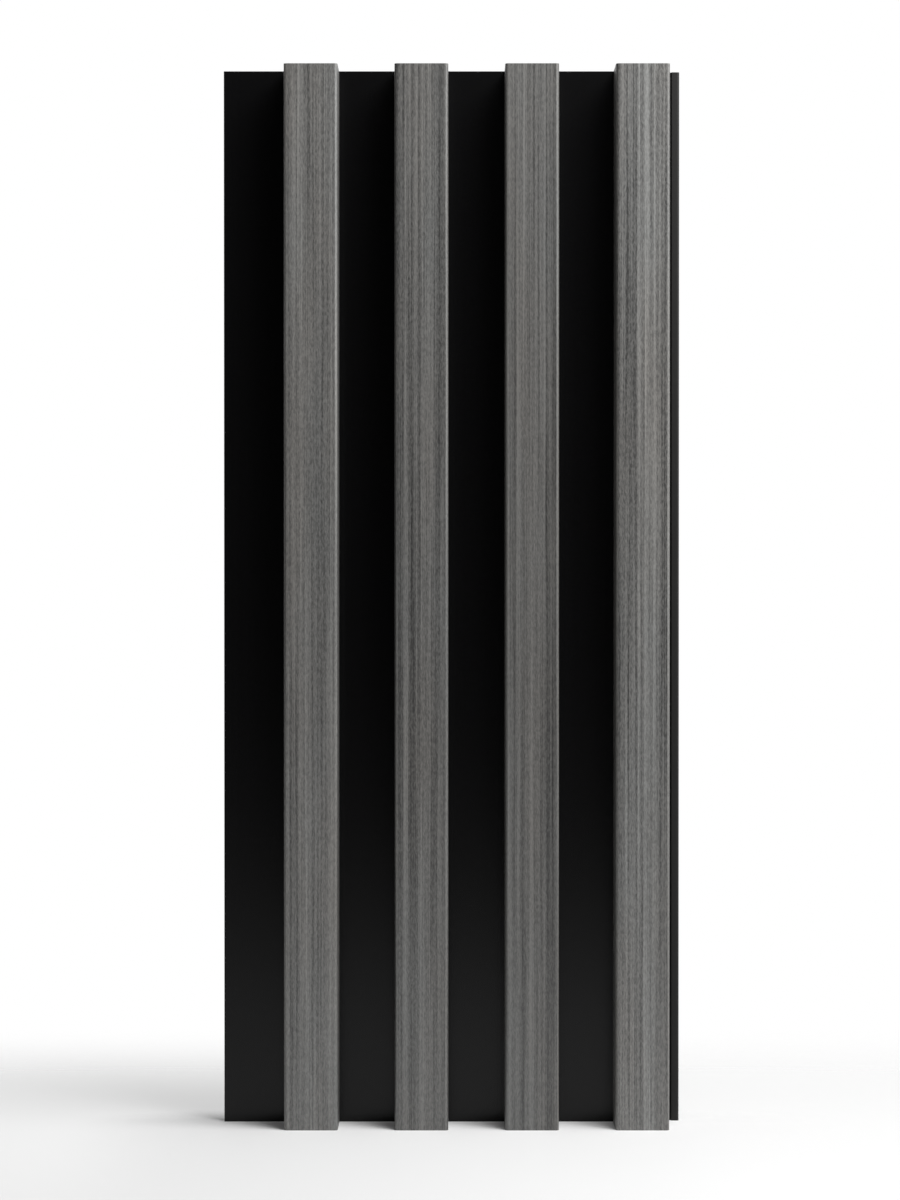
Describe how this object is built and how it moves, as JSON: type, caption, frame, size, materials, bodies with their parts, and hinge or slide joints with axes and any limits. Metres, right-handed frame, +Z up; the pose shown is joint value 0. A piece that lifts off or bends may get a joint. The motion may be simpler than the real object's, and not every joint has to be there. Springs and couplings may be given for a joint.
{
  "type": "fluted wall panel",
  "caption": "Short length of hollow black wall panel with upright grey wood-grain ribs, a grooved left edge, a tongued right edge and a flat back for gluing to a wall.",
  "frame": {"origin": "middle of the lower cut end, which the panel stands on", "axes": "+Z up along the ribs, +X to the right as seen from the front, ribs facing -Y and the glued back facing +Y"},
  "size_m": [0.16, 0.024, 0.369],
  "materials": {
    "black_composite": "satin black extruded wood-plastic composite with faint die lines, sawn at both ends",
    "grey_woodgrain_film": "matt grey wood-grain decor film with fine straight grain along the ribs"
  },
  "bodies": {
    "root": {"panel_body": "black_composite", "rib_film_1": "grey_woodgrain_film", "rib_film_2": "grey_woodgrain_film", "rib_film_3": "grey_woodgrain_film", "rib_film_4": "grey_woodgrain_film"}
  },
  "joints": []
}
